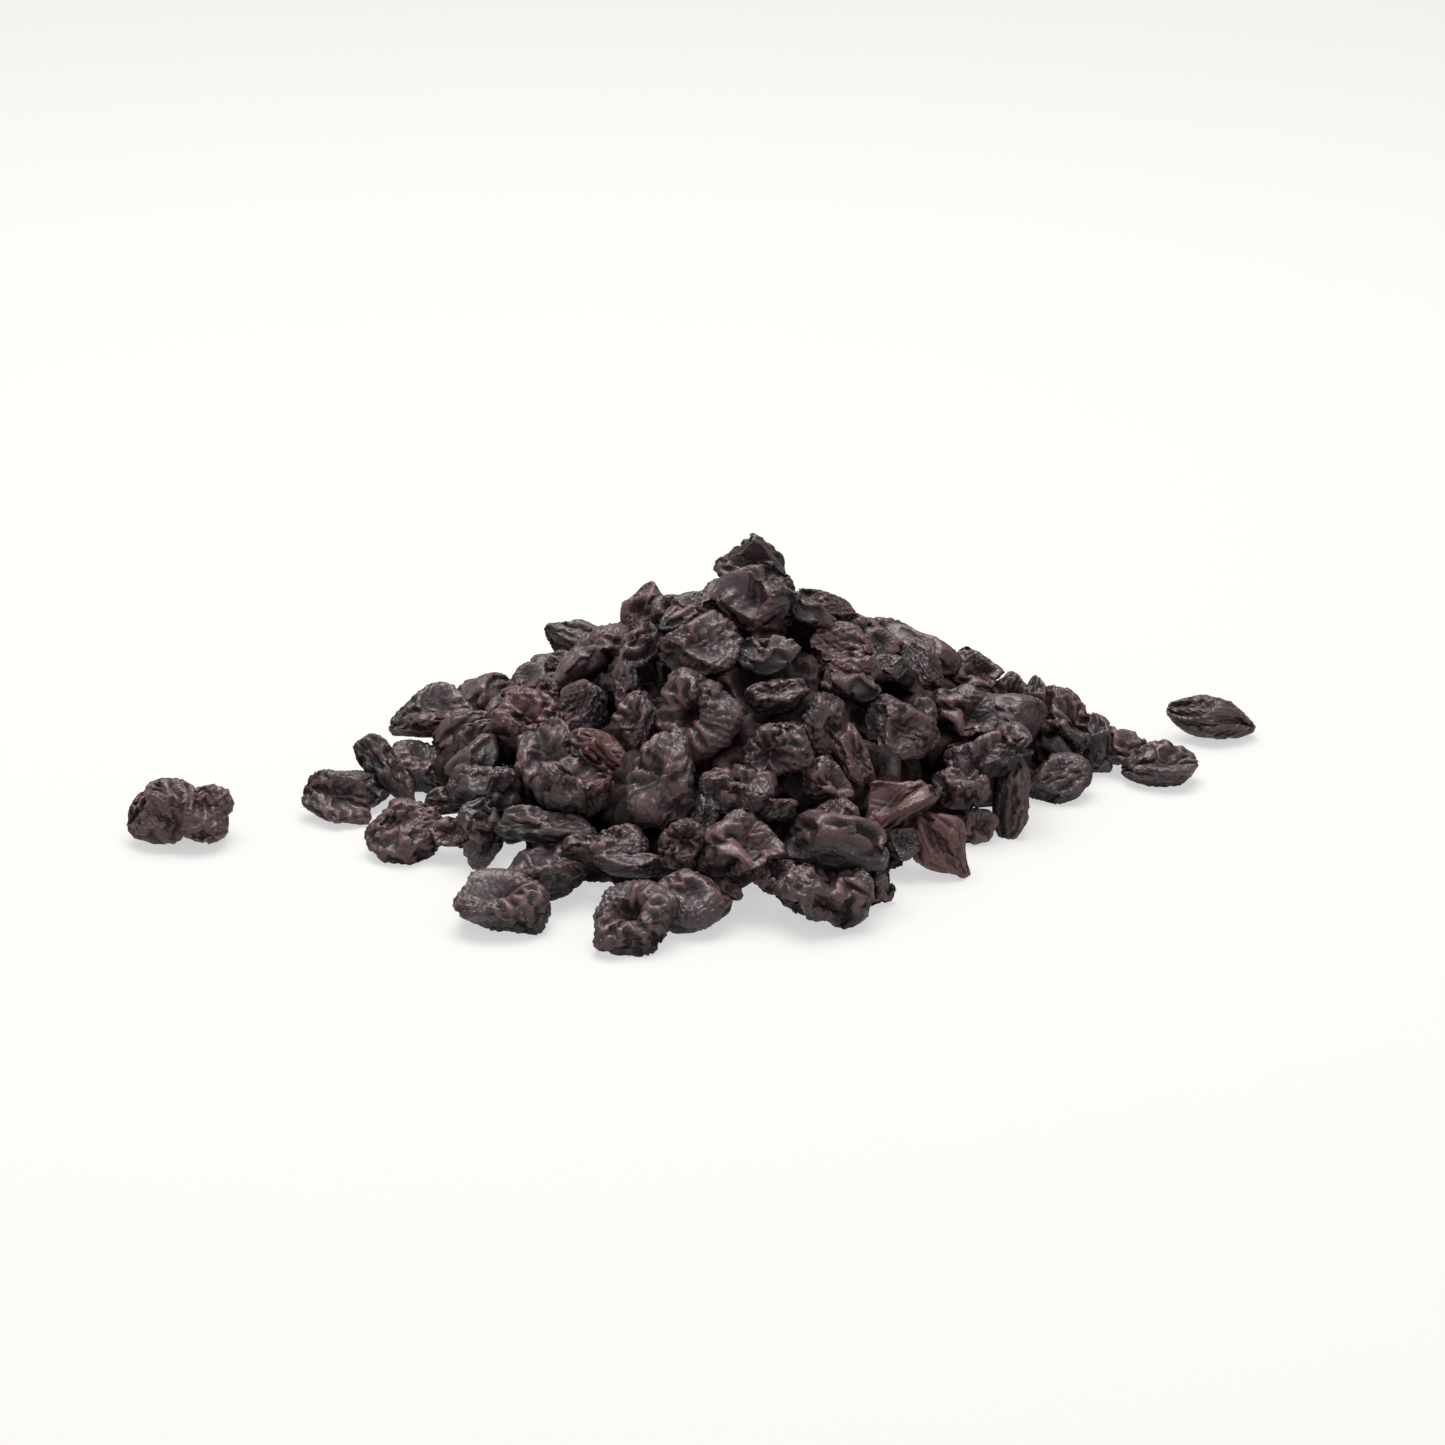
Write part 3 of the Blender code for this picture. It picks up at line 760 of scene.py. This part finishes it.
def buckle(net, points, body, lengths, grown, setting, slip):
    """Lets the skin grow over the body that holds it, so that it bends into wrinkles."""
    normals = net.normals(body)
    body_bend = body[net.near].mean(axis=1) - body
    slide_hold = setting["slide"] / slip
    speed = np.zeros_like(points)
    for step in range(setting["steps"]):
        reached = min(1.0, step / (GROWING_TIME * setting["steps"]))
        spans = points[net.near] - points[:, None]
        distance = np.sqrt((spans**2).sum(axis=2)) + 1e-9
        force = ((1.0 - (lengths + reached * grown) / distance)[..., None] * spans).mean(axis=1)
        bend = spans.mean(axis=1) - body_bend
        force -= setting["bend"] * (bend[net.near].mean(axis=1) - bend)
        moved = points - body
        risen = (moved * normals).sum(axis=1)
        hold = np.where(risen > 0.0, setting["rise"], setting["sink"])
        hold *= 1.0 + (risen / setting["height"]) ** 2
        force -= ((hold - slide_hold) * risen)[:, None] * normals + slide_hold * moved
        speed = SPEED_KEPT * speed + STEP * force
        points = points + speed
    return points


def wrinkled_skin(nets, form, look, random):
    """A cherry's skin on the finest net, filling the box from -1 to 1."""
    body = flesh(nets[0].directions, form, look, random)
    amounts = look["folding"]
    for number, (net, setting) in enumerate(zip(nets, NETS)):
        if number:
            body = net.refine(nets[number - 1], points)
        start = setting["start"] * waves(net.directions, random, setting["fine"], START_WAVES)
        start += START_GRAIN * setting["start"] * random.normal(0.0, 1.0, len(body))
        points = body + start[:, None] * net.normals(body)
        lengths, grown = growth(net, body, amounts[number], look, random)
        points = buckle(net, points, body, lengths, grown, setting, look.get("slip", PLAIN_SLIP))
    points = points + ROUNDING * (points[nets[-1].near].mean(axis=1) - points)
    return fitted(points)


def fitted(points):
    """The points moved and stretched to fill the box from -1 to 1."""
    low, high = points.min(axis=0), points.max(axis=0)
    return (points - (low + high) / 2.0) / ((high - low) / 2.0)


def with_fewer_faces(points, faces, share):
    """Points and triangles of the shape with this share of its faces, most kept where it bends most."""
    work = made_object("shape_to_thin", points, faces)
    fewer = work.modifiers.new("fewer_faces", "DECIMATE")
    fewer.ratio = share
    bpy.context.view_layer.update()
    thin = work.evaluated_get(bpy.context.evaluated_depsgraph_get()).to_mesh()
    thin_points = np.empty(len(thin.vertices) * 3)
    thin.vertices.foreach_get("co", thin_points)
    thin_faces = np.empty(len(thin.polygons) * 3, int)
    thin.polygons.foreach_get("vertices", thin_faces)
    mesh = work.data
    bpy.data.objects.remove(work)
    bpy.data.meshes.remove(mesh)
    return thin_points.reshape(-1, 3), thin_faces.reshape(-1, 3)


def crests(points, faces):
    """How far each point stands out of its surroundings: 0 in a crease, 0.5 on plain skin, 1 on a crest."""
    edges = np.concatenate([faces[:, [0, 1]], faces[:, [1, 2]], faces[:, [2, 0]]])
    corners = points[faces]
    across = np.cross(corners[:, 1] - corners[:, 0], corners[:, 2] - corners[:, 0])
    normals = np.zeros_like(points)
    for corner in range(3):
        np.add.at(normals, faces[:, corner], across)
    normals = unit(normals)
    count = np.bincount(edges[:, 0], minlength=len(points))

    def mean_of_near(values):
        sums = [np.bincount(edges[:, 0], part[edges[:, 1]], len(points)) for part in values.T]
        return np.stack(sums, 1) / count[:, None]

    smooth = points
    for _ in range(CREST_ROUNDS):
        smooth = mean_of_near(smooth)
    standing = ((points - smooth) * normals).sum(axis=1)
    standing = mean_of_near(standing[:, None])[:, 0]
    return np.clip(0.5 + 0.5 * standing / (CREST_HEIGHT * standing.std()), 0.0, 1.0)


def made_object(name, points, faces):
    """An object with a mesh of these points and triangles."""
    mesh = bpy.data.meshes.new(name)
    mesh.vertices.add(len(points))
    mesh.vertices.foreach_set("co", np.asarray(points, np.float32).ravel())
    mesh.loops.add(len(faces) * 3)
    mesh.loops.foreach_set("vertex_index", np.asarray(faces, np.int32).ravel())
    mesh.polygons.add(len(faces))
    mesh.polygons.foreach_set("loop_start", np.arange(0, len(faces) * 3, 3, dtype=np.int32))
    mesh.update(calc_edges=True)
    mesh.shade_smooth()
    made = bpy.data.objects.new(name, mesh)
    bpy.context.scene.collection.objects.link(made)
    return made


def laid_cherry(pose, shape, random):
    """One cherry's own copy of a shape: turned, mirrored, warped, and laid at its pose."""
    middle, axes, halves, form = pose
    points, faces, crest = shape
    if form in TURNABLE:
        turn = random.uniform(0.0, 2.0 * math.pi)
        points = points @ np.array(Matrix.Rotation(turn, 3, "Z")).T
    if random.random() < MIRRORED_SHARE:
        points = points * (1.0, -1.0, 1.0)
        faces = faces[:, ::-1]
    warp = np.stack([waves(points, random, WARP_FINENESS, WARP_WAVES) for _ in range(3)], axis=1)
    points = fitted(points + WARP * warp) * np.array(halves)
    placed = np.array(middle) + points @ np.array(axes)
    above = placed[:, 2].min()
    if 0.0 < above < NEAR_SURFACE:
        placed[:, 2] -= above + FLAT_SPOT
    placed[:, 2] = np.maximum(placed[:, 2], SURFACE)
    own = points * OWN_STRETCH.get(form, (1.0, 1.0, 1.0)) + random.uniform(-1.0, 1.0, 3)
    outside = points[:, 2] / halves[2]
    return placed, faces, crest, own, outside


def tone_at(entry, random):
    """How red the skin of a cherry of the tables is: as seen in the picture, else by a seeded choice."""
    plain = random.uniform(*PLAIN_TONES)
    for column, row, tone in TONES:
        if math.hypot(entry[0] - column, entry[1] - row) < TONE_REACH:
            return tone
    return plain


def heap_piece(name, poses, tones, shapes, share, random, material, node="cherry_heap", depth=PAINTED_SHADE_OUTSIDE):
    """One object of many cherries, each with a tone of its own. depth is how strongly shade is painted at
    three heights in each cherry, set by how deep in the heap they lie.
    """
    points, faces, crest, tone, own, deep = [], [], [], [], [], []
    reached = 0
    for pose, redness in zip(poses, tones):
        variants = shapes[pose[3], share]
        variant = variants[random.integers(len(variants))]
        placed, corners, heights, places, outside = laid_cherry(pose, variant, random)
        points.append(placed)
        faces.append(corners + reached)
        crest.append(heights)
        tone.append(np.full(len(placed), redness))
        own.append(places)
        # Painted shade: each point is darkened the lower it lies in its own cherry
        deep.append(np.interp(outside, PAINTED_SHADE_HEIGHTS, depth))
        reached += len(placed)
    piece = made_object(name, np.concatenate(points), np.concatenate(faces))
    store(piece, "crest", np.concatenate(crest))
    store(piece, "tone", np.concatenate(tone))
    store(piece, "own", np.concatenate(own))
    store(piece, "deep", np.concatenate(deep))
    return finish_piece(piece, material, node)


def store(piece, name, values):
    """Keeps a number or a place for each point of the piece, for its material to read."""
    kind, field = ("FLOAT", "value") if values.ndim == 1 else ("FLOAT_VECTOR", "vector")
    attribute = piece.data.attributes.new(name, kind, "POINT")
    attribute.data.foreach_set(field, np.asarray(values, np.float32).ravel())


def finish_piece(piece, material, node):
    """Gives the piece its material and its body, and hides the solid that it stands for."""
    piece.data.materials.append(material)
    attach(piece, "root")
    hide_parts(node)
    return piece


def heap_core(material, random):
    """Lumpy mound under all the cherries, dark with painted shade."""
    points, faces = [], []
    for ring in range(CORE_RINGS):
        for side in range(CORE_SIDES):
            angle = 2.0 * math.pi * side / CORE_SIDES
            out = 1.0 - max(ring - 1, 0) / (CORE_RINGS - 1)
            reach = heap_radius(angle) * (CORE_REACH + CORE_FURTHER_BEHIND * math.sin(angle)) * out
            spot = Vector((FOOT.x + reach * math.cos(angle), FOOT.y + reach * math.sin(angle), 0.0))
            height = (mound(spot) - CORE_SINK) * (1.0 - out**CORE_FOOT)
            spot.z = max(height, CORE_LOWEST) if ring else SURFACE
            points.append(spot)
    points = np.array(points)
    lumps = CORE_LUMPS * waves(points * 1000.0, random, CORE_LUMP_FINENESS, CORE_LUMP_WAVES)
    points[CORE_SIDES:, 2] = np.maximum(points[CORE_SIDES:, 2] + lumps[CORE_SIDES:], CORE_LOWEST)
    for ring in range(CORE_RINGS - 1):
        for side in range(CORE_SIDES):
            low, high = ring * CORE_SIDES, (ring + 1) * CORE_SIDES
            after = (side + 1) % CORE_SIDES
            faces.append((low + side, low + after, high + after))
            faces.append((low + side, high + after, high + side))
    core = made_object("heap_core", points, np.array(faces))
    shape = bmesh.new()
    shape.from_mesh(core.data)
    shape.verts.ensure_lookup_table()
    shape.faces.new([shape.verts[side] for side in reversed(range(CORE_SIDES))])
    top = (CORE_RINGS - 1) * CORE_SIDES
    shape.faces.new([shape.verts[top + side] for side in range(CORE_SIDES)])
    shape.to_mesh(core.data)
    shape.free()
    return finish_piece(core, material, "cherry_heap")


def node_of(tree, kind, **settings):
    node = tree.nodes.new(kind)
    for name, value in settings.items():
        setattr(node, name, value)
    return node


def noise(tree, place, scale, detail):
    node = node_of(tree, "ShaderNodeTexNoise")
    tree.links.new(place, node.inputs["Vector"])
    node.inputs["Scale"].default_value = scale
    node.inputs["Detail"].default_value = detail
    return node.outputs["Fac"]


def ramp(tree, value, *stops):
    """Colour ramp of (position, colour) stops."""
    node = node_of(tree, "ShaderNodeValToRGB")
    tree.links.new(value, node.inputs["Fac"])
    elements = node.color_ramp.elements
    while len(elements) < len(stops):
        elements.new(0.5)
    for element, (position, color) in zip(elements, stops):
        element.position = position
        element.color = color
    return node.outputs["Color"]


def mixed(tree, share, first, second):
    """Mix of two colours. The node keeps its colour sockets after those for numbers and vectors."""
    node = node_of(tree, "ShaderNodeMix", data_type="RGBA")
    tree.links.new(share, node.inputs["Factor"])
    for value, name in ((first, 6), (second, 7)):
        if isinstance(value, tuple):
            node.inputs[name].default_value = value
        else:
            tree.links.new(value, node.inputs[name])
    return node.outputs[2]


def arithmetic(tree, operation, first, second):
    """Math on two numbers, each given or made by another node."""
    node = node_of(tree, "ShaderNodeMath", operation=operation)
    for value, socket in ((first, node.inputs[0]), (second, node.inputs[1])):
        if isinstance(value, float):
            socket.default_value = value
        else:
            tree.links.new(value, socket)
    return node.outputs[0]


def grey(level):
    return (level, level, level, 1.0)


def own_value(tree, name, output="Fac"):
    """A value that the mesh keeps for each of its points."""
    return node_of(tree, "ShaderNodeAttribute", attribute_name=name).outputs[output]


def skin_color(tree, place, crease_shade_share):
    """Nearly black to red-brown by the cherry's tone, redder on crests, with painted shade in creases and
    towards the heap's inside, and pale specks.
    """
    patches = noise(tree, place, RED_PATCHES, 3.0)
    plain = ramp(tree, own_value(tree, "tone"), (0.0, SKIN_BLACK), (0.6, SKIN_PLAIN), (1.0, SKIN_RED))
    red_share = arithmetic(tree, "MULTIPLY", ramp(tree, patches, (0.50, grey(0.0)), (0.72, grey(1.0))), 0.5)
    base = mixed(tree, red_share, plain, SKIN_RED)
    edge_share = ramp(tree, own_value(tree, "crest"), (0.66, grey(0.0)), (0.95, grey(0.75)))
    base = mixed(tree, edge_share, base, SKIN_EDGE)
    # Painted shade: the creases are darkened towards near black
    base = mixed(tree, crease_shade_share, base, SKIN_PAINTED_SHADE)
    specks = ramp(tree, noise(tree, place, PALE_SPECKS, 1.0), (0.735, grey(0.0)), (0.76, grey(0.8)))
    base = mixed(tree, specks, base, SKIN_SPECK)
    # Painted shade towards the heap's inside and on the low side of each cherry
    return mixed(tree, own_value(tree, "deep"), base, SKIN_PAINTED_DEEP_SHADE)


def finest_wrinkles(tree):
    """The normal of wrinkles too fine for the mesh."""
    lines = node_of(tree, "ShaderNodeTexNoise", noise_type="RIDGED_MULTIFRACTAL")
    tree.links.new(own_value(tree, "own", "Vector"), lines.inputs["Vector"])
    settings = dict(Scale=FINEST_WRINKLES, Detail=2.0, Roughness=0.5, Offset=0.9, Gain=1.5, Distortion=0.6)
    for name, value in settings.items():
        lines.inputs[name].default_value = value
    return bumped(tree, lines.outputs["Fac"], 0.55, 0.00010)


def bumped(tree, height, strength, distance):
    bump = node_of(tree, "ShaderNodeBump")
    bump.inputs["Strength"].default_value = strength
    bump.inputs["Distance"].default_value = distance
    tree.links.new(height, bump.inputs["Height"])
    return bump.outputs["Normal"]


def skin_material(name, mirroring):
    """Dark satin skin: nearly black in creases by painted shade, red-brown on thin crests, each cherry a
    little different.
    """
    material = bpy.data.materials.new(name)
    material.use_nodes = True
    tree = material.node_tree
    shader = tree.nodes["Principled BSDF"]
    place = node_of(tree, "ShaderNodeTexCoord").outputs["Object"]
    # The crease mask paints shade into the creases and also makes them rougher
    crease_shade_share = ramp(tree, own_value(tree, "crest"), (0.15, grey(0.90)), (0.50, grey(0.0)))
    tree.links.new(skin_color(tree, place, crease_shade_share), shader.inputs["Base Color"])
    dull = ramp(tree, noise(tree, place, DULL_PATCHES, 3.0), (0.30, grey(0.30)), (0.70, grey(0.46)))
    rough = mixed(tree, crease_shade_share, dull, grey(0.85))
    rough = mixed(tree, own_value(tree, "deep"), rough, grey(0.60))
    tree.links.new(rough, shader.inputs["Roughness"])
    shader.inputs["Specular IOR Level"].default_value = mirroring
    tree.links.new(finest_wrinkles(tree), shader.inputs["Normal"])
    return material


def core_material():
    """Rough, nearly black as painted shade: what little shows of the mound lies in deep shade."""
    material = bpy.data.materials.new("heap_painted_shade")
    material.use_nodes = True
    tree = material.node_tree
    shader = tree.nodes["Principled BSDF"]
    place = node_of(tree, "ShaderNodeTexCoord").outputs["Object"]
    patches = noise(tree, place, CORE_PATCHES, 3.0)
    # Painted shade: patches between two near-black shade colours
    tree.links.new(ramp(tree, patches, (0.35, CORE_PAINTED_SHADE), (0.75, SKIN_PAINTED_SHADE)), shader.inputs["Base Color"])
    shader.inputs["Roughness"].default_value = 0.9
    shader.inputs["Specular IOR Level"].default_value = 0.1
    lumps = bumped(tree, noise(tree, place, CORE_GRAIN, 3.0), 0.6, 0.0004)
    tree.links.new(lumps, shader.inputs["Normal"])
    return material


def floor_and_light():
    """Plain white floor, pale surroundings brighter above, and a broad light above and a little behind."""
    corners = FLOOR_HALF * np.array([(-1.0, -1.0, 0.0), (1.0, -1.0, 0.0), (1.0, 1.0, 0.0), (-1.0, 1.0, 0.0)])
    floor = made_object("floor", corners, np.array([(0, 1, 2), (0, 2, 3)]))
    material = bpy.data.materials.new("white_floor")
    material.use_nodes = True
    shader = material.node_tree.nodes["Principled BSDF"]
    shader.inputs["Base Color"].default_value = FLOOR_COLOR
    shader.inputs["Roughness"].default_value = 0.9
    shader.inputs["Specular IOR Level"].default_value = 0.0
    shader.inputs["Emission Color"].default_value = FLOOR_GLOW
    shader.inputs["Emission Strength"].default_value = 1.0
    floor.data.materials.append(material)
    world = bpy.data.worlds.new("pale_surroundings")
    world.use_nodes = True
    tree = world.node_tree
    way = node_of(tree, "ShaderNodeSeparateXYZ")
    tree.links.new(node_of(tree, "ShaderNodeTexCoord").outputs["Generated"], way.inputs[0])
    sky = ramp(tree, way.outputs["Z"], (0.0, grey(SKY_LOW)), (1.0, grey(SKY_HIGH)))
    tree.links.new(sky, tree.nodes["Background"].inputs["Color"])
    bpy.context.scene.world = world
    lamp = bpy.data.lights.new("broad_light", "AREA")
    lamp.shape = "DISK"
    lamp.size = LIGHT_SIZE
    lamp.energy = LIGHT_WATTS
    light = bpy.data.objects.new("broad_light", lamp)
    light.location = LIGHT_PLACE
    light.rotation_euler = LIGHT_PLACE.to_track_quat("Z", "Y").to_euler()
    bpy.context.scene.collection.objects.link(light)
    bpy.context.scene.view_settings.view_transform = "Standard"


def place_camera():
    """The reference view."""
    camera = bpy.data.cameras.new("view")
    camera.lens = LENS * 1000.0
    camera.sensor_width = SENSOR * 1000.0
    holder = bpy.data.objects.new("view", camera)
    _, _, back = view_axes()
    holder.location = VIEW_TARGET + back * VIEW_DISTANCE
    holder.rotation_euler = back.to_track_quat("Z", "Y").to_euler()
    bpy.context.scene.collection.objects.link(holder)
    bpy.context.scene.camera = holder


def skin_shapes():
    """The shapes of each form at each share of faces, as points, faces and crest heights."""
    nets = [Net(setting["divisions"]) for setting in NETS]
    for coarser, finer in zip(nets, nets[1:]):
        finer.link(coarser)
    shapes = {}
    for number, (form, look) in enumerate((form, look) for form in LOOKS for look in LOOKS[form]):
        points = wrinkled_skin(nets, form, look, np.random.default_rng(LOOK_SEED + number))
        for share in (SHOWN_FACES, BEHIND_FACES, INSIDE_FACES, STRAY_FACES):
            thin_points, thin_faces = with_fewer_faces(points, nets[-1].faces, share)
            shape = fitted(thin_points), thin_faces, crests(thin_points, thin_faces)
            shapes.setdefault((form, share), []).append(shape)
    return shapes


def main():
    for old in list(bpy.data.objects):
        bpy.data.objects.remove(old)
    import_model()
    tables = dict(heap_top=TOP, heap_middle=MIDDLE, heap_left=LEFT, heap_front=FRONT, heap_right=RIGHT)
    groups = {name: [shown_pose(entry, place_on_mound) for entry in tables[name]] for name in tables}
    back = [shown_pose(entry, place_on_surface) for entry in BEHIND_ON_SURFACE]
    poses = [pose for group in groups.values() for pose in group] + back
    shown = len(poses)
    fill_mound(poses, np.random.default_rng(SEED))
    draw_in(poses)
    random = np.random.default_rng(SEED + 1)
    shapes = skin_shapes()
    skin = skin_material("dried_cherry_skin", OPEN_MIRRORING)
    shaded_skin = skin_material("shaded_cherry_skin", SHADED_MIRRORING)
    for name, group in groups.items():
        tones = [tone_at(entry, random) for entry in tables[name]]
        heap_piece(name, group, tones, shapes, SHOWN_FACES, random, skin)
    tones = [tone_at(entry, random) for entry in BEHIND_ON_SURFACE]
    heap_piece("heap_back", back, tones, shapes, SHOWN_FACES, random, skin)
    fill = poses[shown:]
    tones = random.uniform(*PLAIN_TONES, len(fill))
    heap_piece("heap_behind", fill, tones, shapes, BEHIND_FACES, random, skin)
    inside = inside_poses(poses, random)
    tones = np.full(len(inside), INSIDE_TONE)
    heap_piece("heap_inside", inside, tones, shapes, INSIDE_FACES, random, shaded_skin, depth=PAINTED_SHADE_INSIDE)
    heap_core(core_material(), random)
    for name, entry in STRAYS.items():
        pose = shown_pose(entry, place_on_surface)
        tones = [STRAY_TONES[name]]
        heap_piece(name + "_skin", [pose], tones, shapes, STRAY_FACES, random, skin, name, PAINTED_SHADE_FREE)
    floor_and_light()
    place_camera()


main()
